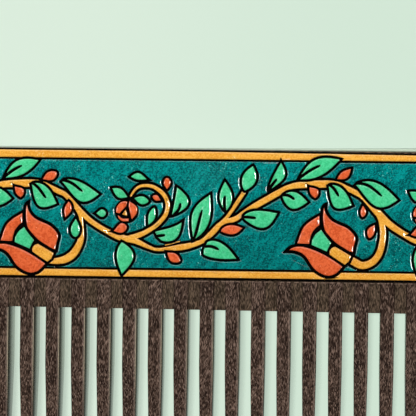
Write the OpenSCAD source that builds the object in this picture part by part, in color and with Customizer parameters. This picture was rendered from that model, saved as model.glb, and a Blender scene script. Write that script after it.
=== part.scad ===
// Long-handled wooden comb with a painted spine panel.
// The comb lies on its back: X runs along it to the handle, Y from the tooth tips to the
// spine, and Z out of the painted face.

/* [Back and handle] */
// Overall length, from the plain end to the end of the handle
comb_length = 190; // [180:1:205]
// Overall height, from the tooth tips to the back edge
comb_height = 49; // [44:1:54]
// Thickness of the wood
wood_t = 7.4; // [6:0.1:9]
// Length of the rounded end of the handle
handle_end = 12; // [8:1:16]
// Rounding of the long edges behind the panel
spine_round = 0.4; // [0.2:0.1:0.8]
// Rounding of the long edges of the handle
handle_round = 3; // [1:0.1:3.2]
// Corner radius of the plain end, seen from the front
end_corner = 3; // [2:0.5:6]

/* [Teeth] */
// Number of narrow teeth
tooth_count = 27; // [20:1:27]
// Distance from one tooth to the next
tooth_pitch = 3.61; // [3.2:0.01:3.7]
// Width of a tooth at its root
tooth_w = 1.94; // [1.5:0.01:2.1]
// Width of a tooth just above its rounded tip
tooth_tip_w = 1.45; // [1:0.05:1.5]
// Thickness of a tooth at its tip
tooth_tip_t = 3.2; // [2:0.1:4]
// Length of a tooth below its root that keeps its full width and thickness
tooth_straight = 8; // [2:1:12]
// Width of the two guard teeth
guard_w = 5.58; // [4:0.02:7]
// Height of the root line above the middle of the comb, at the middle of the photo
root_y = 1.37; // [0:0.01:3]
// Fall of the root line towards the handle, as a slope
root_slope = 0.0045; // [0:0.0001:0.01]
// Glue gap between the strips
glue_gap = 0.05; // [0.03:0.01:0.1]

/* [Painted panel] */
// Height of the panel between its two outer border lines
panel_h = 17.95; // [16:0.05:18.1]
// Distance from the back edge to the outer border line
panel_edge = 0.36; // [0.3:0.02:0.8]
// Fall of the panel's upper edge towards the handle, as a slope
upper_edge_slope = 0.007; // [0:0.001:0.01]
// Distance from the outer border line to the inner one, above and at the ends
band_w = 1.34; // [1:0.02:1.6]
// The same distance along the lower edge
lower_band_w = 1.26; // [1:0.02:1.6]
// Width of the black line round each leaf and gold line
line_w = 0.37; // [0.3:0.01:0.44]
// Width of the black line round each bud
bud_line_w = 0.34; // [0.2:0.01:0.4]
// Width of the black line round each petal
petal_line_w = 0.43; // [0.3:0.01:0.46]
// How much of that line lies outside the shape's own outline
line_out = 0.06; // [0:0.01:0.12]
// Width of the black border lines
border_line_w = 0.3; // [0.15:0.01:0.4]
// Width of the black line along the panel's upper edge
upper_line_w = 0.25; // [0.1:0.01:0.3]
// Width of the veins in the leaves, where they are widest
vein_w = 0.42; // [0.2:0.01:0.45]
// Thickness of the black base coat
base_coat_t = 0.16; // [0.1:0.01:0.3]
// Thickness of the coloured enamel on the base coat
enamel_t = 0.2; // [0.1:0.01:0.3]
// Gap between one coat and the next
coat_gap = 0.02; // [0.01:0.01:0.05]
// Enamel doesn't run into places narrower than twice this
least_fill = 0.05; // [0.03:0.01:0.08]
point_slack = 0.01;

/* [Hidden] */
left_x = -comb_length / 2;
right_x = comb_length / 2;
tip_y = -comb_height / 2;
top_y = comb_height / 2;

// The highest place of the back edge is beside the heel; along the panel it is a little lower.
spine_dip = 0.44;
panel_top_y = top_y - spine_dip - panel_edge;
panel_bottom_y = panel_top_y - panel_h;
joint_y = panel_bottom_y - border_line_w / 2 - glue_gap;

// A guard tooth narrows by this much down to its tip.
guard_taper = 2;
// The row of teeth starts at the left guard tooth.
slot_w = tooth_pitch - tooth_w;
first_tooth_x = left_x + guard_w + slot_w;
right_guard_x = first_tooth_x + tooth_count * tooth_pitch;
heel_x = right_guard_x + guard_w + glue_gap;
photo_middle_x = -36.2;

panel_left_x = left_x + end_corner;
frame_over_guard = 3;
panel_right_x = right_guard_x + frame_over_guard;

// Levels of the coats above the back face
base_z = wood_t + coat_gap;
enamel_z = base_z + base_coat_t + coat_gap;

// The motif chart counts squares, u along the panel and v up from the lower border line.
square = 0.14;
repeat_u = 297;
chart_x = -56.92;
first_repeat = -1;
last_repeat = 1;
// Whole shapes stay this far, in squares, from the frame at the panel's ends.
end_margin_u = 4;
// In odd repeats the vine's crest, with what grows on it, is painted a little lower.
crest_u = 225;
odd_drop = 2.6;
inner_left_u = (panel_left_x + band_w - chart_x) / square;
inner_right_u = (panel_right_x - band_w - chart_x) / square;

// Columns of the leaf and bud charts. A shape runs from its base to its tip, and bulges to its
// left and right by so many squares, most at the given fraction of its length. Its axis bends
// sideways, and its ends go from pointed (0) to round (1). Its vein is so long, as a fraction,
// and arches to its left by so many squares. Every second repeat was painted a little
// differently, so on says where a row is used: 0 even repeats, 1 odd ones, 2 both.
ON = 0;
BASE = 1;
TIP = 2;
LEFT = 3;
LEFT_AT = 4;
RIGHT = 5;
RIGHT_AT = 6;
BEND = 7;
VEIN = 8;
ARCH = 9;
BASE_ROUND = 10;
TIP_ROUND = 11;

LEAVES = [
    // on, base,       tip,         left, at,  right, at,  bend, vein, arch, rounds
    [0, [235.5, 99.1], [282.5, 121.7],  12.8, 0.50,  7.9, 0.45,  0, 0.55, 0.6, 0,   0.2],
    [1, [236.5, 98.8], [277.5, 120.4],  11.9, 0.50,  6.8, 0.50,  0, 0.55, 0.4, 0,   0.2],
    [0, [-1.7, 95.2],  [41.7, 83.4],    8.1, 0.34, 15.0, 0.60,  0, 0.56, 1.6, 0.3, 0.1],
    [1, [-4.5, 95.3],  [43.1, 80.7],   11.5, 0.40, 15.4, 0.60,  0, 0.62, 2.4, 0.3, 0.1],
    [0, [266, 95.1],   [294.4, 74.3],   8.7, 0.38, 14.8, 0.57,  0, 0.47, 1.0, 0.4, 0.1],
    [1, [265.3, 95.9], [295.6, 75],     9.2, 0.38, 15.1, 0.57,  0, 0.60, 1.0, 0.4, 0.1],
    [2, [220, 83.6],   [250.3, 77.7],   9.0, 0.42, 12.0, 0.47,  0, 0.48, 2.2, 0.3, 0.1],
    [2, [208.4, 86.3], [220.3, 121.3],  3.6, 0.28, 11.6, 0.57,  0, 0.44, 0.4, 0.3, 0],
    [2, [183.9, 86.5], [193, 115.9],    8.3, 0.46,  9.6, 0.50,  0, 0, 0,    0.6, 0.3],
    [2, [165.9, 65.4], [164.4, 101],    7.9, 0.45,  9.0, 0.45,  0, 0.50, 1.0, 0.2, 0.1],
    [2, [131.9, 35.8], [151.8, 87.7],  12.1, 0.53, 10.7, 0.43,  0, 0.62, -0.4, 0,   0],
    [2, [142, 29.2],   [180.6, 18.8],  14.2, 0.31,  7.2, 0.25,  0, 0.42, 1.2, 1,   0.3],
    [2, [181.4, 60.3], [220.4, 68],     7.6, 0.32, 15.0, 0.52,  0, 0.37, 0.4, 0.4, 0.1],
    [2, [61.4, 38],    [61.8, 0],      14.4, 0.43,  6.8, 0.42,  0, 0, 0,    0,   0],
    [2, [91.4, 97.5],  [66.7, 101],     3.3, 0.55,  7.6, 0.58,  0, 0, 0,    0,   0],
    [2, [70.5, 80],    [49.1, 90.9],    7.6, 0.47,  5.2, 0.55,  0, 0, 0,    0,   0.2],
    [2, [69.5, 80.6],  [90.6, 76.4],    5.7, 0.58,  6.6, 0.60,  0, 0, 0,    0,   0.8],
    [0, [31.8, 63.9],  [47.8, 64.5],    6.0, 0.62,  6.0, 0.62,  0, 0, 0,    0,   1],
    [0, [15.6, 63.5],  [15.1, 37.8],    6.4, 0.62,  7.0, 0.62,  0, 0, 0,    0.2, 1],
    [2, [85.9, 49.1],  [95, 72.7],      4.9, 0.62,  6.5, 0.52,  0, 0, 0,    0,   0.9],
    [2, [109.1, 60.7], [114.9, 94.5],  -0.4, 0.60, 18.5, 0.52,  0, 0.48, -1.2, 0.6, 0.4],
    [2, [96, 39.9],    [124.7, 60.8],   9.0, 0.15, 10.3, 0.38, -4, 0.27, 0, 1,   0],
];

BUDS = [
    // on, base,       tip,        left, at,  right, at,  bend, vein, arch, rounds
    [0, [274, 99.6],    [292.3, 113.8], 4.2, 0.48, 7.2, 0.50, 0, 0, 0, 0,   0.2],
    [1, [275, 98.4],    [294.4, 107.9], 6.1, 0.58, 6.6, 0.60, 0, 0, 0, 0,   1],
    [0, [246.6, 95.8],  [256.2, 80.3], 8.4, 0.60, 3.8, 0.58, 0, 0, 0, 0,   1],
    [1, [248.1, 95.5],  [257.7, 80],   8.4, 0.60, 3.8, 0.58, 0, 0, 0, 0,   1],
    [0, [7.9, 78.1],    [3.9, 56.2],   7.0, 0.42, 4.2, 0.48, 0, 0, 0, 0.2, 0],
    [1, [5.4, 79.5],    [5, 61.5],     5.6, 0.60, 3.8, 0.60, 0, 0, 0, 0,   1],
    [1, [19.5, 59.2],   [11.8, 40.7],  4.2, 0.60, 7.0, 0.55, 0, 0, 0, 0,   0.9],
    [2, [48.9, 45.9],   [68.7, 51.5],  6.9, 0.68, 6.4, 0.60, 0, 0, 0, 0,   1],
    [2, [103.5, 76.6],  [90.3, 82.5],  4.3, 0.55, 5.0, 0.60, 0, 0, 0, 0,   0.9],
    [2, [106.8, 85.1],  [106.3, 102.5],  5.2, 0.60, 5.6, 0.60, 0, 0, 0, 0,   1],
    [2, [104.8, 28.1],  [122.3, 16], 5.7, 0.58, 7.2, 0.56, 0, 0, 0, 0,   0.9],
    [2, [159.4, 47],    [185.8, 52.1], 6.8, 0.40, 6.8, 0.52, 0, 0, 0, 0.7, 0],
];

// Rows of the gold lines are u, v and the width of the gold, in squares.
VINE_START_EVEN = [[5.5, 81.5, 4.8], [19.5, 66.3, 5.4], [31.5, 55.6, 5], [46, 46.8, 5.2]];
VINE_START_ODD = [[6.5, 82.9, 5.4], [20.5, 68.2, 7], [32, 57, 6.6], [46, 47.6, 6]];
VINE = [
    [60, 40.5, 6.6], [75, 37, 5.6], [89, 31, 3.8], [97, 28.6, 3.2], [108, 29.5, 4],
    [120, 31, 6], [130, 33, 5.6], [142.5, 37.5, 4.5], [152.5, 46.1, 5.6],
    [161.5, 55, 5.4], [176, 60.6, 5.1], [184, 66.8, 4.3], [195, 73.4, 5.8],
    [206, 79.8, 6.1], [217, 86.2, 6], [228, 92.4, 5.1], [241, 95, 6.6],
    [264, 96.2, 7.4], [277, 96, 5.4], [286, 92.4, 5], [295, 88.1, 5.2],
];
TENDRIL = [
    [68, 39.1, 5.8], [78, 42.4, 5.3], [84.6, 45.3, 4.8], [94.2, 51.1, 4.3], [100.6, 57, 4.3],
    [105.7, 64.1, 4.3], [107.6, 73, 4.3], [105.1, 81.3, 4.2], [99.3, 87.6, 4],
    [91, 92, 3.4], [81.5, 92.2, 3], [75.7, 89.2, 2.6], [71.3, 83.4, 2.2], [70.2, 80.6, 2],
];
TWIG = [[160.5, 55, 4], [167.1, 61.9, 3.3], [174.3, 72.3, 3.7], [183.1, 86, 3.9], [185.2, 90, 3]];
// A loose stroke beside the vine
STRAND = [[105.4, 33.1, 1], [112.6, 35, 1.3], [120.4, 37.2, 1]];
strand_line = 0.5;
STEM_EVEN = [
    [314, 71, 3.7], [320, 62.5, 5.2], [322.6, 51.8, 5.9], [322.6, 40.8, 6.1],
    [319.4, 27.5, 6.5], [312.6, 18.8, 6.9], [303, 15.4, 7.3], [295, 18.6, 7.6], [288, 22.5, 6.6],
];
STEM_ODD = [
    [311, 72.5, 4], [317, 61, 3.6], [318.5, 49, 4], [317.6, 37, 6],
    [311.3, 24.5, 7.6], [303, 18, 7.6], [294, 15.8, 6.2], [286, 15.6, 4.8],
];

// A petal is closed by two smooth edges that meet in its corners.
UPPER_PETAL = [
    [[266.8, 77.4], [266.8, 69.5], [273.2, 61], [288.8, 53.6], [297.4, 43.5], [296, 33],
     [294.8, 25.4]],
    [[294.8, 25.4], [289.6, 26], [283.5, 29.2], [274, 35.3], [267, 42.3], [262, 49.2],
     [260, 60], [260.4, 70.9], [263, 75.6], [266.8, 77.4]],
];
LOWER_PETAL = [
    [[222.8, 26.6], [231, 34], [243.7, 35.3], [263.5, 28.4], [283.2, 16.3], [285.2, 12.6]],
    [[285.2, 12.6], [276.6, 4], [266, 1.9], [252.9, 8.8], [243.2, 22], [234, 26.4],
     [222.8, 26.6]],
];
// These lie inside their black lines.
BACK_PETAL = [
    [[237.3, 36.2], [242.2, 50.3], [248.8, 57.7], [258.8, 64]],
    [[259.1, 54.8], [255.3, 51.7], [251.1, 45.4], [249, 35.9]],
];
HEART = [
    [[261, 50.2], [265.4, 43.9], [271.2, 37.1]],
    [[269.3, 33.8], [266.7, 28.2]],
    [[258.6, 31.6], [251.2, 34.8]],
    [[251.8, 39.8], [255.4, 45.9], [261, 50.2]],
];
CALYX = [
    [[275, 33.3], [283.2, 28.7], [291, 24.2]],
    [[288.6, 18.6], [284.8, 15.5]],
    [[277.4, 20.1], [269.5, 25.5]],
    [[269.3, 28.6], [271.5, 31.8], [275, 33.3]],
];
// What is black between the petals, the heart and the calyx
FLOWER_CORE = [[[249, 37], [253, 52], [263, 60], [268, 45], [279, 36], [290, 25], [285, 15],
                [262, 30]]];
// A flower is painted so far from its place in the chart, in even and in odd repeats. The black
// line round its heart is thicker on the inside by heart_trim.
FLOWER_EVEN = [0.5, 0.4];
FLOWER_ODD = [-0.5, -0.6];
heart_trim = 0.03;
ROSETTE_CENTRE = [66.3, 66.6];
ROSETTE_R = 12.2;
// The rosette's enamel runs this much wider than its charted shapes.
rosette_swell = 0.05;
ROSETTE_LEFT = [[[56.3, 65.4], [56.6, 69.9], [59.8, 74.6], [64.2, 76.2], [66.6, 75.8]],
                [[65.5, 71.9], [59.1, 64.8]]];
ROSETTE_RIGHT = [[[69.3, 75.9], [73.2, 73.5], [76.6, 70], [75.9, 64.3], [71.9, 59.4]],
                 [[70, 66.1], [68.7, 71.9]]];
ROSETTE_CRESCENT = [[[58.2, 61.6], [62.3, 58.9], [68.1, 58.9]],
                    [[68.1, 57], [62.3, 56.9], [58.7, 59.6]]];
ROSETTE_GOLD = [[[65.5, 68.1], [66.8, 62.3], [62, 63.5]]];

// A vein runs this far across its leaf, from its left side.
vein_at = 0.45;
vein_steps = 9;
leaf_steps = 16;
spline_steps = 5;

// The back is lofted through stations along X. Rows of its edges are x and y.
TOP_EDGE = [
    [left_x - 10, top_y - spine_dip], [left_x + 30, top_y - spine_dip],
    [-35, top_y - spine_dip], [-8, top_y - 0.2], [12, top_y], [30, top_y - 0.4],
    [55, top_y - 1.6], [80, top_y - 2.9], [right_x + 5, top_y - 3.8],
];
heel_y = joint_y - 10.5;
BOTTOM_EDGE = [
    [left_x - 10, heel_y], [heel_x - 12, heel_y], [heel_x, heel_y], [heel_x + 1.6, heel_y + 3.2],
    [heel_x + 4.4, heel_y + 6], [heel_x + 9, heel_y + 8], [heel_x + 16, heel_y + 8.7],
    [heel_x + 28, heel_y + 7.4], [64, heel_y + 4.6], [80, heel_y + 4.6],
    [right_x + 5, heel_y + 6.4],
];
handle_end_x = right_x - handle_end;
ring_steps = 4;
heel_step = 1.4;
heel_steps = 7;
heel_far_x = heel_x + heel_steps * heel_step;
// The edges change from square to well rounded over this length behind the heel.
heel_blend = 22;
last_slice = 0.02;

function tooth_name(i) = str("tooth_", i < 10 ? "0" : "", i);
function root_line(x) = root_y - root_slope * (x - photo_middle_x);

// Catmull-Rom curve through the rows of p, at t from 0 to 1 between rows b and c
function between(a, b, c, d, t) =
    0.5 * (2 * b + (c - a) * t + (2 * a - 5 * b + 4 * c - d) * t * t
           + (3 * b - a - 3 * c + d) * t * t * t);
function row(p, i) = p[max(0, min(len(p) - 1, i))];
function smooth(p, steps) = concat(
    [for (i = [0:len(p) - 2], j = [0:steps - 1])
        between(row(p, i - 1), p[i], p[i + 1], row(p, i + 2), j / steps)],
    [p[len(p) - 1]]
);

// Height of an edge table at x, eased between its rows
function edge_y(p, x, i = 0) =
    i >= len(p) - 2 || x < p[i + 1][0]
        ? between(row(p, i - 1)[1], p[i][1], p[i + 1][1], row(p, i + 2)[1],
                  (x - p[i][0]) / (p[i + 1][0] - p[i][0]))
        : edge_y(p, x, i + 1);

function to_mm(p) = [chart_x + p[0] * square, panel_bottom_y + p[1] * square];
function odd(k) = abs(k) % 2 == 1;
// A point of the chart in repeat k
function placed(q, k) = [q[0] + k * repeat_u, q[1] - (odd(k) && q[0] > crest_u ? odd_drop : 0)];
function shifted(p, k) = [for (r = p) [r[0] + k * repeat_u, r[1], r[2]]];
function used(r, k) = r[ON] == 2 || (r[ON] == 1) == odd(k);
function inside_ends(u0, u1) =
    min(u0, u1) > inner_left_u + end_margin_u && max(u0, u1) < inner_right_u - end_margin_u;

// Outline of a leaf or bud
function bulge(t, size, at, base_round, tip_round) =
    size * pow(sin(180 * pow(t, ln(0.5) / ln(at))),
               1 - 0.5 * (base_round * (1 - t) + tip_round * t));
function left_side(r, t) =
    bulge(t, r[LEFT], r[LEFT_AT], r[BASE_ROUND], r[TIP_ROUND]) + r[BEND] * sin(180 * t);
function right_side(r, t) =
    -bulge(t, r[RIGHT], r[RIGHT_AT], r[BASE_ROUND], r[TIP_ROUND]) + r[BEND] * sin(180 * t);
function across(r) =
    let (d = (r[TIP] - r[BASE]) / norm(r[TIP] - r[BASE])) [-d[1], d[0]];
function leaf_point(r, t, side) = r[BASE] + (r[TIP] - r[BASE]) * t + across(r) * side;
// Steps along a leaf, closer together at its ends
function leaf_t(i) = let (s = i / leaf_steps) 0.5 * s + 0.25 * (1 - cos(180 * s));
function leaf_outline(r) = concat(
    [for (i = [0:leaf_steps]) leaf_point(r, leaf_t(i), left_side(r, leaf_t(i)))],
    [for (i = [leaf_steps - 1:-1:1]) leaf_point(r, leaf_t(i), right_side(r, leaf_t(i)))]
);
// A vein is widest at its middle, and its end is round.
function vein_side(r, t) =
    left_side(r, t) * (1 - vein_at) + right_side(r, t) * vein_at + r[ARCH] * sin(180 * t / r[VEIN]);
function vein_line(r) =
    [for (i = [0:vein_steps])
        let (t = r[VEIN] * i / vein_steps, p = leaf_point(r, t, vein_side(r, t)),
             full = 0.8 + 0.2 * sin(180 * i / vein_steps))
            [p[0], p[1], vein_w / square * (i == vein_steps ? full / 2 : full)]];

// Outline of a line whose rows are u, v and width, made wider by grow on each side
function ribbon_side(p, i, grow) =
    let (a = row(p, i - 1), b = row(p, i + 1), d = [b[0] - a[0], b[1] - a[1]])
        [p[i][0], p[i][1]] + [-d[1], d[0]] / norm(d) * (p[i][2] / 2 + grow);
function ribbon(p, grow) = concat(
    [for (i = [0:len(p) - 1]) ribbon_side(p, i, grow)],
    [for (i = [len(p) - 1:-1:0]) 2 * [p[i][0], p[i][1]] - ribbon_side(p, i, grow)]
);
// A smooth line made longer by grow at both ends too
function beyond(a, b, by) =
    let (d = [b[0] - a[0], b[1] - a[1]]) [b[0] + d[0] / norm(d) * by, b[1] + d[1] / norm(d) * by, b[2]];
function gold_line(p, grow) =
    let (s = smooth(p, spline_steps), n = len(s), by = max(grow, 0.01))
        ribbon(concat([beyond(s[1], s[0], by)], s, [beyond(s[n - 2], s[n - 1], by)]), grow);
function closed_shape(edges) = [for (e = edges) each len(e) > 2 ? smooth(e, spline_steps) : e];

module chart_shape(points) {
    polygon([for (p = points) to_mm(p)]);
}

module each_row(table) {
    for (k = [first_repeat:last_repeat], r = table)
        if (used(r, k)
            && inside_ends(r[BASE][0] + k * repeat_u, r[TIP][0] + k * repeat_u)) {
            drop = placed(r[BASE], k) - r[BASE];
            $shape = [for (i = [0:len(r) - 1]) i == BASE || i == TIP ? r[i] + drop : r[i]];
            children();
        }
}

// The gold lines, each made wider by grow squares on both sides
module gold_lines(grow) {
    chart_shape(gold_line([for (k = [first_repeat:last_repeat],
                                r = concat(odd(k) ? VINE_START_ODD : VINE_START_EVEN, VINE))
        concat(placed(r, k), r[2])], grow));
    for (k = [first_repeat:last_repeat]) {
        for (p = [TENDRIL, TWIG])
            if (inside_ends(p[0][0] + k * repeat_u, p[len(p) - 1][0] + k * repeat_u))
                chart_shape(gold_line(shifted(p, k), grow));
        if (rosette_fits(k))
            chart_shape(gold_line(shifted(STRAND, k), min(grow, strand_line)));
        if (flower_fits(k))
            chart_shape(gold_line(shifted(odd(k) ? STEM_ODD : STEM_EVEN, k), grow));
    }
}

function flower_fits(k) =
    inside_ends(LOWER_PETAL[0][0][0] + k * repeat_u, STEM_EVEN[2][0] + k * repeat_u);
function rosette_fits(k) =
    inside_ends(ROSETTE_CENTRE[0] - ROSETTE_R + k * repeat_u,
                ROSETTE_CENTRE[0] + ROSETTE_R + k * repeat_u);
function moved(edges, k, by = [0, 0]) =
    [for (e = edges) [for (q = e) q + by + [k * repeat_u, 0]]];
function in_flower(edges, k) = moved(edges, k, odd(k) ? FLOWER_ODD : FLOWER_EVEN);

module inner_field() {
    translate([panel_left_x + band_w, panel_bottom_y + lower_band_w])
        square([panel_right_x - panel_left_x - 2 * band_w, panel_h - band_w - lower_band_w]);
}

// The panel's whole outline, moved by so much at its ends, its lower and its upper edge. The
// upper edge is level up to the middle of the photo and falls from there on.
module panel_outline(ends, lower, upper) {
    fall = upper_edge_slope * (panel_right_x - photo_middle_x);
    polygon([
        [panel_left_x - ends, panel_bottom_y - lower],
        [panel_right_x + ends, panel_bottom_y - lower],
        [panel_right_x + ends, panel_top_y + upper - fall],
        [photo_middle_x, panel_top_y + upper],
        [panel_left_x - ends, panel_top_y + upper]
    ]);
}

module shrunk(by) {
    offset(delta = -by) children();
}
// A shape with the outer part of its black line
module with_line() {
    offset(delta = line_out) children();
}
// A shape without the inner part of its black line, w wide in all
module inside_line(w) {
    shrunk(w - line_out) children();
}
// A shape without its thin ends. Corners that the second step throws out are cut back to
// within point_slack of the shape.
module without_slivers() {
    intersection() {
        shrunk(-least_fill) shrunk(least_fill) children();
        shrunk(-point_slack) children();
    }
}

// The black cells of everything that lies over the gold lines
module cells_over_vine() {
    each_row(LEAVES) with_line() chart_shape(leaf_outline($shape));
    each_row(BUDS) with_line() chart_shape(leaf_outline($shape));
    for (k = [first_repeat:last_repeat]) {
        if (flower_fits(k)) {
            for (s = [UPPER_PETAL, LOWER_PETAL])
                with_line() chart_shape(closed_shape(in_flower(s, k)));
            for (s = [BACK_PETAL, HEART, CALYX])
                offset(delta = line_w) chart_shape(closed_shape(in_flower(s, k)));
            chart_shape(in_flower(FLOWER_CORE, k)[0]);
        }
        if (rosette_fits(k))
            translate(to_mm(ROSETTE_CENTRE + [k * repeat_u, 0]))
                circle(r = ROSETTE_R * square, $fn = 48);
    }
}

module all_cells() {
    intersection() {
        gold_lines(line_w / square);
        inner_field();
    }
    cells_over_vine();
}

module enamel() {
    translate([0, 0, enamel_z]) linear_extrude(enamel_t) children();
}

// One strip of the row of teeth. The front outline and the side outline are crossed.
module tooth_strip(x, w, w_tip) {
    low = root_line(x + w / 2) - tooth_straight;
    top = joint_y - glue_gap;
    tip_r = w_tip / 2;
    side_r = tooth_tip_t / 2;
    mid = x + w / 2;
    intersection() {
        linear_extrude(wood_t)
            polygon(concat(
                [[x + w, low], [x + w, top], [x, top], [x, low]],
                [for (a = [180:22.5:360]) [mid + tip_r * cos(a), tip_y + tip_r + tip_r * sin(a)]]
            ));
        translate([x - 1, 0, 0]) rotate([90, 0, 90]) linear_extrude(w + 2)
            polygon(concat(
                [[low, wood_t], [top, wood_t], [top, 0], [low, 0]],
                [for (a = [270:-22.5:90])
                    [tip_y + side_r + side_r * cos(a), wood_t / 2 + side_r * sin(a)]]
            ));
    }
}

module tooth(i) {
    color("#5a3a30")
        tooth_strip(first_tooth_x + (i - 1) * tooth_pitch, tooth_w, tooth_tip_w);
}

module guard_tooth_left() {
    color("#4a342c") tooth_strip(left_x, guard_w, guard_w - guard_taper);
}

module guard_tooth_right() {
    color("#4a342c") tooth_strip(right_guard_x, guard_w, guard_w - guard_taper);
}

// Short blocks between the strips. Their lower ends close the slots.
module spacers() {
    color("#5b5148")
        for (i = [0:tooth_count]) {
            x = first_tooth_x + (i - 1) * tooth_pitch + tooth_w;
            root = root_line(x + slot_w / 2);
            translate([x + glue_gap, root, 0])
                cube([slot_w - 2 * glue_gap, joint_y - glue_gap - root, wood_t]);
        }
}

// A station of the back: a rounded bar whose corners have radius r
function ring(x, y0, y1, z0, z1, r) = [
    for (c = [0:3], j = [0:ring_steps])
        let (a = 90 * (c + j / ring_steps),
             rr = min(r, (y1 - y0) / 2 - 0.01, (z1 - z0) / 2 - 0.01),
             cy = c == 0 || c == 3 ? y1 - rr : y0 + rr,
             cz = c < 2 ? z1 - rr : z0 + rr)
            [x, cy + rr * cos(a), cz + rr * sin(a)]
];
function eased(t) = let (s = max(0, min(1, t))) s * s * (3 - 2 * s);
function station(x) =
    let (
        top = edge_y(TOP_EDGE, x),
        bottom = edge_y(BOTTOM_EDGE, x),
        mid = (top + bottom) / 2,
        corner = max(0, left_x + end_corner - x),
        corner_drop = end_corner - sqrt(max(0, end_corner * end_corner - corner * corner)),
        tail = max(0, x - handle_end_x) / handle_end,
        close = sqrt(max(0, 1 - tail * tail)),
        flat_close = 0.45 + 0.55 * sqrt(1 - pow(tail, 4)),
        r = spine_round + (handle_round - spine_round) * eased((x - heel_x) / heel_blend)
    )
        ring(x, mid + (bottom - mid) * close, mid + (top - corner_drop - mid) * close,
             wood_t / 2 * (1 - flat_close), wood_t / 2 * (1 + flat_close), r);
function station_list() = concat(
    [for (a = [0:22.5:90]) left_x + end_corner * (1 - cos(a))],
    [for (i = [1:5]) left_x + end_corner + (heel_x - left_x - end_corner) * i / 6],
    [for (i = [0:heel_steps]) heel_x + i * heel_step],
    [for (i = [1:12]) heel_far_x + (handle_end_x - heel_far_x) * i / 13],
    [for (a = [0:10:80]) handle_end_x + handle_end * sin(a)],
    [right_x - last_slice]
);

module lofted_bar() {
    xs = station_list();
    rings = [for (x = xs) station(x)];
    n = len(rings[0]);
    m = len(rings);
    polyhedron(
        points = [for (q = rings) each q],
        faces = concat(
            [[for (i = [0:n - 1]) i]],
            [for (k = [0:m - 2], i = [0:n - 1])
                let (a = k * n + i, b = k * n + (i + 1) % n) [a, a + n, b + n, b]],
            [[for (i = [n - 1:-1:0]) (m - 1) * n + i]]
        ),
        convexity = 4
    );
}

module comb_back() {
    color("#4b3a33")
        difference() {
            lofted_bar();
            translate([left_x - 1, tip_y, -1])
                cube([heel_x - left_x + 1, joint_y - tip_y, wood_t + 2]);
        }
}

module panel_base() {
    edge = border_line_w / 2;
    color("#141312")
        translate([0, 0, base_z]) linear_extrude(base_coat_t)
            panel_outline(edge, edge, upper_line_w - edge);
}

module panel_ground() {
    color("#06807c") enamel() without_slivers() difference() {
        shrunk(border_line_w / 2) inner_field();
        all_cells();
    }
}

module border_band() {
    color("#f2ac49") enamel() difference() {
        panel_outline(-border_line_w / 2, -border_line_w / 2, -border_line_w / 2);
        offset(delta = border_line_w / 2) inner_field();
        cells_over_vine();
    }
}

module vine() {
    color("#f0b252") enamel() {
        without_slivers() difference() {
            intersection() {
                gold_lines(0);
                shrunk(border_line_w / 2) inner_field();
            }
            cells_over_vine();
        }
        for (k = [first_repeat:last_repeat]) {
            if (flower_fits(k)) chart_shape(closed_shape(in_flower(CALYX, k)));
            if (rosette_fits(k)) chart_shape(closed_shape(moved(ROSETTE_GOLD, k)));
        }
    }
}

module leaves() {
    color("#4cd38c") enamel() each_row(LEAVES) difference() {
        inside_line(line_w) chart_shape(leaf_outline($shape));
        if ($shape[VEIN] > 0) chart_shape(ribbon(vein_line($shape), 0));
    }
}

module buds() {
    color("#e0562c") enamel() each_row(BUDS)
        inside_line(bud_line_w) chart_shape(leaf_outline($shape));
}

module petals() {
    color("#e65a2a") enamel() for (k = [first_repeat:last_repeat]) {
        if (flower_fits(k)) {
            for (s = [UPPER_PETAL, LOWER_PETAL])
                inside_line(petal_line_w) chart_shape(closed_shape(in_flower(s, k)));
            chart_shape(closed_shape(in_flower(BACK_PETAL, k)));
        }
        if (rosette_fits(k))
            for (s = [ROSETTE_LEFT, ROSETTE_RIGHT, ROSETTE_CRESCENT])
                shrunk(-rosette_swell) chart_shape(closed_shape(moved(s, k)));
    }
}

module flower_hearts() {
    color("#58d695") enamel() for (k = [first_repeat:last_repeat])
        if (flower_fits(k))
            shrunk(heart_trim) chart_shape(closed_shape(in_flower(HEART, k)));
}

comb_back();
guard_tooth_left();
guard_tooth_right();
for (i = [1:tooth_count])
    tooth(i);
spacers();
panel_base();
panel_ground();
border_band();
vine();
leaves();
buds();
petals();
flower_hearts();
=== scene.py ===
"""A long-handled wooden comb with a painted panel along its spine, lying face up on a pale floor."""

import math

import bmesh
import bpy
from mathutils import Matrix, Vector
from mathutils.bvhtree import BVHTree


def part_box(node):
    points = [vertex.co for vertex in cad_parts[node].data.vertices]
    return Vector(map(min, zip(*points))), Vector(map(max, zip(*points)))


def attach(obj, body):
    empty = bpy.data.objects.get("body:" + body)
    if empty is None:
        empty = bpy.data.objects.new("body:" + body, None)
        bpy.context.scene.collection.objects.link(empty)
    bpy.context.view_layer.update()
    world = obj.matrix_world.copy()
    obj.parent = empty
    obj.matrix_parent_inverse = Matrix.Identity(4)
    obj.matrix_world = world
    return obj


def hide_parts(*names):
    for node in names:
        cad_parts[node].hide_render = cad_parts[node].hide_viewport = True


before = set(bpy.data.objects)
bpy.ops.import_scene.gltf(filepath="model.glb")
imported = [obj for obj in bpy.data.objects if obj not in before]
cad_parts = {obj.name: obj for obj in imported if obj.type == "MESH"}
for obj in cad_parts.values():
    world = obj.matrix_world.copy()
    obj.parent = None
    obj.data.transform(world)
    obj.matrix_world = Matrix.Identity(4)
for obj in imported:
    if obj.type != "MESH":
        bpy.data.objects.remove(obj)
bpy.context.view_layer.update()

MM = 0.001
TEETH = sorted(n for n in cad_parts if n.startswith("tooth_"))
GUARDS = ["guard_tooth_left", "guard_tooth_right"]
FIRST_TOOTH_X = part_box(TEETH[0])[0].x
TOOTH_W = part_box(TEETH[0])[1].x - FIRST_TOOTH_X
TOOTH_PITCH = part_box(TEETH[1])[0].x - FIRST_TOOTH_X
JOINT_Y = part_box("spacers")[1].y
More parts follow.
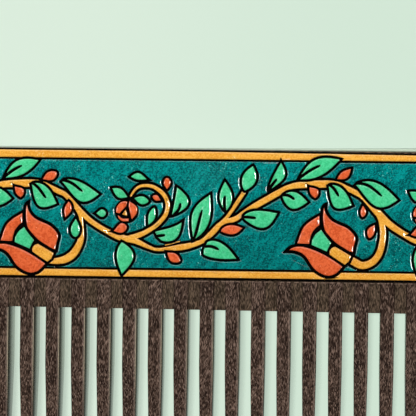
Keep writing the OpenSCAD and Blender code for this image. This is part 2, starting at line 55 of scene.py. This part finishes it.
WOOD_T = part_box("comb_back")[1].z
# Where the rounding of the spine starts to show past the panel
SPINE_Y = 24.06 * MM
# What the photo is centred on, its width in pixels, the size of one, and its turn
PHOTO_MIDDLE = Vector((-36.2, 15.66, 7.7)) * MM
PHOTO_WIDTH = 416
PIXEL = 0.14 * MM
PHOTO_TURN = 0.0125
# The camera's place from there
EYE_SIDE, EYE_HEIGHT = 17.8 * MM, 350 * MM
# Half the floor's width, and how far under the comb it lies
FLOOR_HALF = 6
FLOOR_GAP = 0.02 * MM
# The slots' ends lie at ROOT_Y in the middle of the photo, and fall towards the handle.
ROOT_Y = 1.37 * MM
ROOT_SLOPE = 0.0045
# The strips' long edges get square this far past the slots' ends.
PAST_ROOT = 0.1 * MM
# A dark groove this deep lies along the spacers. A step under it, they close the glue gap.
GROOVE_DEPTH = 0.45 * MM
GROOVE_STEP = 0.02 * MM
GAP_CLOSED = 0.044 * MM
# Edges that turn more than this, in degrees, look sharp: all, the spacers', and lengthwise ones
SHARP = 60
SPACER_SHARP = 40
LENGTHWISE_SHARP = 4
# Edges that turn more than this, in degrees, are broken.
STRIP_CORNER = 35
PLAIN_CORNER = 50
STRIP_CHAMFER = 0.09 * MM
# Points nearer than this are merged, and faces that bend less than this are joined.
ONE_POINT = 0.0004 * MM
ONE_FACE = math.radians(0.3)
# Heights that differ by less are taken as one.
LEVEL = 0.001 * MM
# Faces that look this much up, down or sideways are taken as doing just that.
SQUARE_ON = 0.9
# The first small step of a rim's rings, and the spacing of the cuts across long straight edges
NUDGE = 0.004 * MM
LONG_STEP = 2 * MM


def root_line(x):
    """Height of the slots' ends at x, in metres."""
    return ROOT_Y - ROOT_SLOPE * (x - PHOTO_MIDDLE.x)


def colour(red, green, blue):
    """A colour of the picture's 0 to 255 scale, as the linear one that a shader takes."""
    def linear(value):
        value /= 255
        return value / 12.92 if value <= 0.04045 else ((value + 0.055) / 1.055) ** 2.4
    return (linear(red), linear(green), linear(blue), 1)


class Value:
    """A socket of a material, which Python's operators join with numbers and other sockets."""

    def __init__(self, shader, socket):
        self.shader, self.socket = shader, socket

    def maths(self, operation, *others):
        return self.shader.node("ShaderNodeMath", {"operation": operation}, self, *others)

    def __add__(self, other):
        return self.maths("ADD", other)

    def __sub__(self, other):
        return self.maths("SUBTRACT", other)

    def __rsub__(self, other):
        return self.shader.node("ShaderNodeMath", {"operation": "SUBTRACT"}, other, self)

    def __mul__(self, other):
        return self.maths("MULTIPLY", other)

    def __truediv__(self, other):
        return self.maths("DIVIDE", other)

    def __abs__(self):
        return self.maths("ABSOLUTE")

    __radd__, __rmul__ = __add__, __mul__

    def between(self, low, high):
        """0 where this is at or under low, 1 at or over high, eased between them."""
        return self.shader.node(
            "ShaderNodeMapRange", {"interpolation_type": "SMOOTHSTEP"}, self, low, high, 0, 1)


class Shader:
    """A material whose maths and other nodes are made by a few calls."""

    def __init__(self, name, **constants):
        self.material = bpy.data.materials.new(name)
        self.material.use_nodes = True
        self.tree = self.material.node_tree
        self.surface = self.tree.nodes["Principled BSDF"]
        self.place = self.node("ShaderNodeTexCoord", {}, out="Object")
        for socket, value in constants.items():
            self.surface.inputs[socket.replace("_", " ")].default_value = value

    def node(self, kind, settings=None, *values, out=0, **named):
        """A node with its settings first, then what its sockets take in order or by name."""
        made = self.tree.nodes.new(kind)
        for key, value in (settings or {}).items():
            setattr(made, key, value)
        for key, value in [*enumerate(values), *named.items()]:
            socket = made.inputs[key.replace("_", " ") if isinstance(key, str) else key]
            if isinstance(value, Value):
                self.tree.links.new(value.socket, socket)
            else:
                socket.default_value = value
        return Value(self, made.outputs[out])

    def coordinate(self, axis):
        """One Object coordinate, in millimetres."""
        return self.node("ShaderNodeSeparateXYZ", {}, self.place, out=axis) * 1000

    def stretched(self, scale, turn=0):
        """Object coordinates in millimetres, scaled along each axis after a turn about Z."""
        turned = self.node("ShaderNodeMapping", {}, self.place, Rotation=(0, 0, math.radians(turn)))
        return self.node("ShaderNodeMapping", {}, turned, Scale=[1000 * s for s in scale])

    def noise(self, per_mm, scale=(1, 1, 1), turn=0, detail=2.0, roughness=0.55):
        return self.node("ShaderNodeTexNoise", {}, self.stretched(scale, turn),
                         Scale=per_mm, Detail=detail, Roughness=roughness)

    def blend(self, mask, first, second):
        """The first colour where mask is 0, and the second where it is 1."""
        mix = self.tree.nodes.new("ShaderNodeMix")
        mix.data_type = "RGBA"
        for socket, value in ((0, mask), (6, first), (7, second)):
            if isinstance(value, Value):
                self.tree.links.new(value.socket, mix.inputs[socket])
            else:
                mix.inputs[socket].default_value = value
        return Value(self, mix.outputs[2])

    def scaled(self, shade, factor):
        return self.node("ShaderNodeVectorMath", {"operation": "SCALE"}, shade, Scale=factor)

    def set(self, socket, value):
        self.tree.links.new(value.socket, self.surface.inputs[socket])

    def bump(self, height, depth_mm):
        self.set("Normal", self.node("ShaderNodeBump", {}, Strength=0.3,
                                     Distance=depth_mm * MM, Height=height))


def wood(name, dark, ground, fleck, grain, contrast, flecks, scratches, polish):
    """Dark wood with its grain along X or Y: fine fibres, pale flecks, and slanting scratches.

    Its polish is none at the first height of polish, in millimetres, and full at the second.
    """
    s = Shader(name, Coat_Roughness=0.1, Coat_IOR=1.6, Specular_IOR_Level=0)

    def along(length):
        return (1 / length, 1, 1) if grain == "X" else (1, 1 / length, 1)

    fibres = s.noise(8, along(5), turn=4, detail=1.5, roughness=0.6)
    clouds = s.noise(0.6, along(2), detail=2)
    pale = s.noise(11, along(6), turn=-5, detail=0).between(0.59, 0.72)
    slant = s.noise(9, along(8), turn=32 if grain == "Y" else 58, detail=0).between(0.6, 0.7)
    slant = slant * clouds.between(0.48, 0.62)
    low, high = 0.5 - contrast / 2, 0.56 + contrast / 2
    base = s.blend((fibres * 0.8 + clouds * 0.2).between(low, high), dark, ground)
    base = s.blend(pale * flecks, base, fleck)
    base = s.blend(slant * scratches, base, fleck)
    s.set("Coat Weight", 1 - s.coordinate("Z").between(polish[1], polish[0]) * 0.96)
    s.set("Roughness", 0.6 - pale * 0.2)
    s.bump(fibres + pale * 0.4, 0.03)
    return s, base


def under_panel(s, base, pale):
    """A thin paler line, a painted highlight, where the wood meets the panel's lower edge."""
    line = 1 - abs(s.coordinate("Y") - (JOINT_Y / MM - 0.1)).between(0.02, 0.1)
    return s.blend(line * s.noise(2, detail=1).between(0.4, 0.6) * 0.6, base, pale)


def back_wood():
    """The rounding along the panel is painted pale, as a painted reflection, and fades out before
    the heel.
    """
    s, base = wood("back_wood", colour(30, 24, 18), colour(76, 63, 50), colour(140, 116, 94), "X",
                   0.24, 0.5, 0.15, (7.4, 7.25))
    x, y, z = (s.coordinate(axis) for axis in "XYZ")
    rounding = (y - SPINE_Y / MM).between(-0.34, 0.06)
    # Painted reflection: the floor's pale green painted on the spine's rounding
    painted_sheen = rounding * z.between(WOOD_T / MM - 0.8, WOOD_T / MM - 0.4) * (1 - x.between(-8, 4))
    s.set("Base Color", s.blend(painted_sheen, base, colour(200, 218, 196)))
    return s.material


def strip_wood():
    """The slots' sides are raw wood with a painted reflection, and the teeth's right edges get
    painted highlights, more so away from the handle.
    """
    s, base = wood("strip_wood", colour(35, 26, 22), colour(82, 65, 56), colour(146, 122, 109),
                   "Y", 0.14, 0.65, 0.45, (6.4, 0.8))
    x, z = s.coordinate("X"), s.coordinate("Z")
    first, pitch, width, top = (v / MM for v in (FIRST_TOOTH_X, TOOTH_PITCH, TOOTH_W, WOOD_T))
    half_slot = (pitch - width) / 2
    row_start, row_end = first - half_slot, first - half_slot + len(TEETH) * pitch
    in_row = x.between(row_start, row_start + 0.01) - x.between(row_end, row_end + 0.01)
    below = (1 - s.coordinate("Y").between(1.25, 1.45)) * in_row
    # Each tooth's own x, from the middle of the slot at its left
    place = ((x - row_start) / pitch).maths("FRACT") * pitch
    left_edge, right_edge = half_slot, half_slot + width
    # The slots' sides: raw wood, painted pale grey-green as a painted reflection of the floor
    sides_with_painted_reflection = 1 - place.between(left_edge, left_edge + 0.04) + place.between(
        right_edge - 0.04, right_edge)
    base = s.blend(sides_with_painted_reflection * below * 0.75, base, colour(150, 150, 124))
    # A faint painted highlight line just inside each tooth's right edge
    painted_sheen = 1 - abs(place - (right_edge - 0.22)).between(0.04, 0.12)
    base = s.blend(painted_sheen * below * 0.25, base, colour(164, 146, 134))
    # A painted highlight along each tooth's right edge, strongest away from the handle
    painted_edge_highlight = place.between(right_edge - 0.13, right_edge - 0.08)
    painted_edge_highlight = painted_edge_highlight * z.between(top - 2.6, top - 1.6)
    painted_edge_highlight = painted_edge_highlight * (x.between(row_start, row_start + 0.1) - x.between(-50, -18))
    base = s.blend(painted_edge_highlight * below * 0.9, base, colour(176, 164, 142))
    s.set("Base Color", under_panel(s, base, colour(150, 126, 112)))
    return s.material


def spacer_wood():
    s, base = wood("spacer_wood", colour(42, 34, 27), colour(88, 74, 61), colour(136, 112, 94),
                   "Y", 0.2, 0.5, 0.3, (6.4, 0.8))
    s.set("Base Color", under_panel(s, base, colour(150, 126, 112)))
    return s.material


def black_lacquer():
    s = Shader("black_lacquer", Coat_Weight=0.3, Coat_Roughness=0.05, Specular_IOR_Level=0)
    s.set("Base Color", s.blend(s.noise(3.2, detail=3).between(0.45, 0.75), colour(1, 1, 1),
                                colour(18, 11, 8)))
    s.set("Roughness", s.noise(2.5) * 0.2 + 0.4)
    s.bump(s.noise(3, detail=3), 0.02)
    return s.material


def enamel(name, deep, light, patch, glint, painted_shade, clusters, streak=(1, 0.5, 1), turn=28,
           grain=3.4):
    """Brushed enamel: a fine mottle from deep to light, broad strokes, and clustered specks.

    A share of its colour, given after the glint colour, is painted shade: darker towards the teeth,
    lighter towards the spine.
    """
    s = Shader(name, Coat_Weight=1, Coat_Roughness=0.04, Specular_IOR_Level=0)
    mottle = s.noise(grain, detail=1, roughness=0.5)
    fine = s.noise(grain * 1.9, detail=1, roughness=0.5)
    strokes = s.noise(1.1, streak, turn=turn, detail=4, roughness=0.65)
    specks = s.noise(grain * 1.3, (1, 0.8, 1), turn=-20, detail=1, roughness=0.5)
    where = s.noise(0.3, detail=2).between(0.48, 0.66)
    base = s.blend((mottle * 0.4 + fine * 0.33 + strokes * 0.27).between(0.4, 0.6), deep, light)
    base = s.blend(strokes.between(0.5, 0.66) * 0.4, base, patch)
    # Painted shade: darker towards the teeth, lighter towards the spine
    base = s.scaled(base, s.coordinate("Y").between(5, 25) * painted_shade + (1 - painted_shade / 2))
    base = s.blend((specks + where * clusters - 0.76).between(0, 0.05) * 0.9, base, glint)
    s.set("Base Color", base)
    s.set("Roughness", mottle * 0.25 + 0.3)
    s.bump(mottle * 0.8 + strokes * 0.8, 0.03)
    return s.material


def teal_enamel():
    return enamel("teal_enamel", colour(0, 74, 77), colour(2, 142, 139), colour(6, 156, 153),
                  colour(96, 200, 190), 0.4, 0.11, (1, 0.3, 1), 35, 4.2)


def gold_enamel():
    return enamel("gold_enamel", colour(226, 150, 46), colour(248, 186, 80),
                  colour(253, 182, 74), colour(255, 230, 166), 0.12, 0.09, (0.2, 1, 1), 0, 4)


def green_enamel():
    return enamel("green_enamel", colour(58, 190, 128), colour(82, 214, 152),
                  colour(90, 216, 158), colour(190, 240, 214), 0.16, 0.06)


def red_enamel():
    return enamel("red_enamel", colour(208, 84, 42), colour(236, 110, 62), colour(236, 112, 66),
                  colour(255, 184, 148), 0.12, 0.06)


def floor_colour():
    """Most of the pale green is the floor's own glow, as on a backdrop lit from below. It is painted
    a little darker towards the handle.
    """
    s = Shader("pale_floor", Roughness=0.9, Specular_IOR_Level=0.1, Emission_Strength=0.7)
    # Painted shade: the floor's colour gets a little darker towards the handle
    sideways = s.coordinate("X").between(-65, -7)
    tint = s.blend(sideways, colour(216, 234, 218), colour(207, 228, 211))
    s.set("Emission Color", tint)
    s.set("Base Color", s.blend(0.71, tint, colour(0, 0, 0)))
    return s.material


def new_object(work, name, material):
    """Turns a bmesh into an object of the scene."""
    mesh = bpy.data.meshes.new(name)
    work.to_mesh(mesh)
    work.free()
    mesh.materials.append(material)
    made = bpy.data.objects.new(name, mesh)
    bpy.context.scene.collection.objects.link(made)
    return made


def finish_piece(work, name, material, nodes):
    """A piece that rides on the comb and stands for its nodes."""
    piece = new_object(work, name, material)
    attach(piece, "root")
    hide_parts(*nodes)
    return piece


def merged(node, whole_faces=True):
    """A clean copy of a node's mesh. Flat faces are joined, or keep their triangles if asked."""
    work = bmesh.new()
    work.from_mesh(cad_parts[node].data)
    bmesh.ops.remove_doubles(work, verts=work.verts, dist=ONE_POINT)
    if whole_faces:
        bmesh.ops.dissolve_limit(work, angle_limit=ONE_FACE, verts=work.verts,
                                 edges=work.edges, use_dissolve_boundaries=False)
    bmesh.ops.recalc_face_normals(work, faces=work.faces)
    return work


def even_shading(piece):
    """Smooth shading that keeps the large flat faces flat."""
    for face in piece.data.polygons:
        face.use_smooth = True
    shading = piece.modifiers.new("even_shading", "WEIGHTED_NORMAL")
    shading.weight = 90
    shading.keep_sharp = True


def sharpen(work, degrees, long_edges=False):
    """Marks the sharp edges, and if asked every edge along Y that isn't flat."""
    for edge in work.edges:
        angle = edge.calc_face_angle(0) if len(edge.link_faces) == 2 else 0
        run = edge.verts[1].co - edge.verts[0].co
        lengthwise = long_edges and abs(run.y) > 0.8 * run.length
        edge.smooth = angle <= math.radians(LENGTHWISE_SHARP if lengthwise else degrees)


def cut(work, place, normal):
    bmesh.ops.bisect_plane(work, geom=work.verts[:] + work.edges[:] + work.faces[:],
                           plane_co=place, plane_no=normal, dist=1e-7)


def rim_share(walls, start, inward, width):
    """The share of a rim's width that fits inside an outline at one of its points.

    A point that fits is as deep inside as its first small step promised, or nearly so.
    """
    nearly, smaller, least = 0.97, 0.9, 0.02

    def depth(move):
        """How far inside the outline the point lies after a move, and under 0 when outside it."""
        place = start + inward * move
        nearest, normal, _, distance = walls.find_nearest(place)
        return distance if (place - nearest).dot(normal) < 0 else -distance

    promised = max(depth(NUDGE) / NUDGE, 0)
    share = 1
    while share > least and depth(width * share) < nearly * promised * width * share:
        share *= smaller
    return share


def rim_chains(work, top, rings):
    """Insets the top by small steps. Each inmost point is given the points outside it in order."""
    chains = {v: [] for f in top for v in f.verts}
    for _ in range(rings):
        bmesh.ops.inset_region(work, faces=top, thickness=NUDGE, depth=0,
                               use_boundary=True, use_even_offset=False)
        inner = {v for f in top for v in f.verts}
        longer = {}
        for vert in inner:
            for outer in (e.other_vert(vert) for e in vert.link_edges):
                if outer not in inner:
                    longer[vert] = (chains[vert] if vert in chains else chains[outer]) + [outer]
        chains = longer
    return chains


def coat_piece(node, material, rim, long_edges=False):
    """Enamel with a rounded rim: rings run inside the top's outline, and the outer are lower."""
    work = merged(node, whole_faces=long_edges)
    low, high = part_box(node)
    if long_edges:
        for step in range(1, round((high.x - low.x) / LONG_STEP)):
            cut(work, (low.x + step * LONG_STEP, 0, 0), (1, 0, 0))
    work.verts.index_update()
    walls = BVHTree.FromPolygons(
        [v.co for v in work.verts],
        [[v.index for v in f.verts] for f in work.faces if abs(f.normal.z) < 1 - SQUARE_ON])
    top = [f for f in work.faces
           if f.normal.z > SQUARE_ON and f.calc_center_median().z > high.z - LEVEL]
    width = rim[-1][0] * MM
    for inmost, chain in rim_chains(work, top, len(rim) - 1).items():
        start = chain[0].co.copy()
        inward = (chain[1].co - start) / NUDGE
        share = rim_share(walls, start, inward, width)
        for vert, (inset, drop) in zip(chain + [inmost], rim):
            vert.co = start + inward * inset * share * MM
            vert.co.z = high.z - drop * MM
    sharpen(work, SHARP)
    even_shading(finish_piece(work, f"{node}_coat", material, [node]))


def break_edges(work, edges, chamfer, segments):
    bmesh.ops.bevel(work, geom=edges, offset=chamfer, offset_type="OFFSET", segments=segments,
                    profile=0.5, affect="EDGES", material=-1, clamp_overlap=True)


def corners(work, degrees):
    """The edges where two faces meet at more than an angle."""
    return [e for e in work.edges
            if len(e.link_faces) == 2 and e.calc_face_angle(0) > math.radians(degrees)]


def strip_piece(node, material):
    """A tooth or guard: its long edges are broken below the slot's end, and square above it."""
    work = merged(node)
    low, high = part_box(node)
    root = root_line((low.x + high.x) / 2) + PAST_ROOT
    cut(work, (0, root, 0), (0, 1, 0))
    free = [e for e in corners(work, STRIP_CORNER)
            if max(v.co.y for v in e.verts) < root + LEVEL]
    break_edges(work, free, STRIP_CHAMFER, 2)
    sharpen(work, SHARP, long_edges=True)
    even_shading(finish_piece(work, f"{node}_strip", material, [node]))


def plain_piece(node, name, material, chamfer):
    """A copy of a node with its edges broken a little, and its curves shaded smooth."""
    work = merged(node)
    break_edges(work, corners(work, PLAIN_CORNER), chamfer, 1)
    sharpen(work, SHARP)
    even_shading(finish_piece(work, name, material, [node]))


def spacer_piece():
    """The spacers: a dark groove shows at each joint, and below it they close the glue gap."""
    work = merged("spacers")
    step = WOOD_T - GROOVE_DEPTH
    for z in (step, step - GROOVE_STEP):
        cut(work, (0, 0, z), (0, 0, 1))
    for vert in work.verts:
        if vert.co.z < step - GROOVE_STEP / 2:
            side = sum(f.normal.x for f in vert.link_faces if abs(f.normal.x) > SQUARE_ON)
            vert.co.x += math.copysign(GAP_CLOSED, side) if side else 0
    sharpen(work, SPACER_SHARP)
    even_shading(finish_piece(work, "spacer_blocks", spacer_wood(), ["spacers"]))


def build_wood():
    strips = strip_wood()
    for node in TEETH + GUARDS:
        strip_piece(node, strips)
    spacer_piece()
    plain_piece("comb_back", "back_and_handle", back_wood(), 0.05 * MM)


def build_paint():
    """Rims are rows of inset and drop, in millimetres, from the edge inwards."""
    gold, green, red = gold_enamel(), green_enamel(), red_enamel()
    domed = [(0, 0.18), (0.05, 0.08), (0.09, 0.035), (0.17, 0.012), (0.3, 0)]
    level = [(0, 0.17), (0.05, 0.07), (0.08, 0.03), (0.12, 0.012), (0.18, 0)]
    plain_piece("panel_base", "black_ground_coat", black_lacquer(), 0.04 * MM)
    coat_piece("panel_ground", teal_enamel(), level)
    coat_piece("border_band", gold, domed, long_edges=True)
    coat_piece("vine", gold, domed)
    coat_piece("leaves", green, domed)
    coat_piece("flower_hearts", green, domed)
    coat_piece("buds", red, domed)
    coat_piece("petals", red, domed)


def build_floor():
    work = bmesh.new()
    bmesh.ops.create_grid(work, x_segments=1, y_segments=1, size=FLOOR_HALF,
                          matrix=Matrix.Translation((0, 0, -FLOOR_GAP)))
    new_object(work, "floor", floor_colour())


def add_light(kind, name, energy, tint, place, aim=(-0.036, 0.01, 0), **settings):
    light = bpy.data.lights.new(name, kind)
    light.energy, light.color = energy, tint
    for key, value in settings.items():
        setattr(light, key, value)
    lamp = bpy.data.objects.new(name, light)
    lamp.location = place
    lamp.rotation_euler = (Vector(aim) - Vector(place)).to_track_quat("-Z", "Y").to_euler()
    bpy.context.scene.collection.objects.link(lamp)
    return lamp


def light_scene():
    """A wide soft light overhead for the colours, and long boxes at both sides for the gloss."""
    world = bpy.data.worlds.new("studio")
    world.use_nodes = True
    background = world.node_tree.nodes["Background"]
    background.inputs["Color"].default_value = (0.86, 0.93, 0.9, 1)
    background.inputs["Strength"].default_value = 0.05
    bpy.context.scene.world = world
    overhead = add_light("SUN", "overhead", 3.2, (1, 0.99, 0.97), (-0.07, 0.03, 1),
                         (0, 0, 0), angle=math.radians(8))
    overhead.visible_glossy = False
    # Name, place, width, height and energy
    boxes = [("left_box", (-0.536, 0.06, 0.3), 0.25, 0.5, 4),
             ("right_box", (0.464, 0.06, 0.3), 0.25, 0.5, 24),
             ("rear_sheet", (-0.036, 0.8, 0.5), 2, 1, 26)]
    for name, place, width, height, energy in boxes:
        box = add_light("AREA", name, energy, (1, 1, 1), place,
                        shape="RECTANGLE", size=width, size_y=height)
        box.visible_diffuse = False


def place_camera():
    """The photo looks almost straight down, from a little nearer the handle."""
    aim = PHOTO_MIDDLE
    eye = aim + Vector((EYE_SIDE, 0, EYE_HEIGHT))
    back = (eye - aim).normalized()
    right = Vector((1, PHOTO_TURN, 0))
    right = (right - back * right.dot(back)).normalized()
    up = back.cross(right)
    camera = bpy.data.objects.new("camera", bpy.data.cameras.new("camera"))
    sensor = camera.data.sensor_width = 36
    camera.data.lens = sensor * (eye - aim).length / (PHOTO_WIDTH * PIXEL)
    camera.data.clip_start, camera.data.clip_end = 0.01, 10
    camera.matrix_world = Matrix((right, up, back)).transposed().to_4x4()
    camera.matrix_world.translation = eye
    bpy.context.scene.collection.objects.link(camera)
    bpy.context.scene.camera = camera


build_wood()
build_paint()
build_floor()
light_scene()
place_camera()
bpy.context.scene.view_settings.view_transform = "Standard"
bpy.context.view_layer.update()
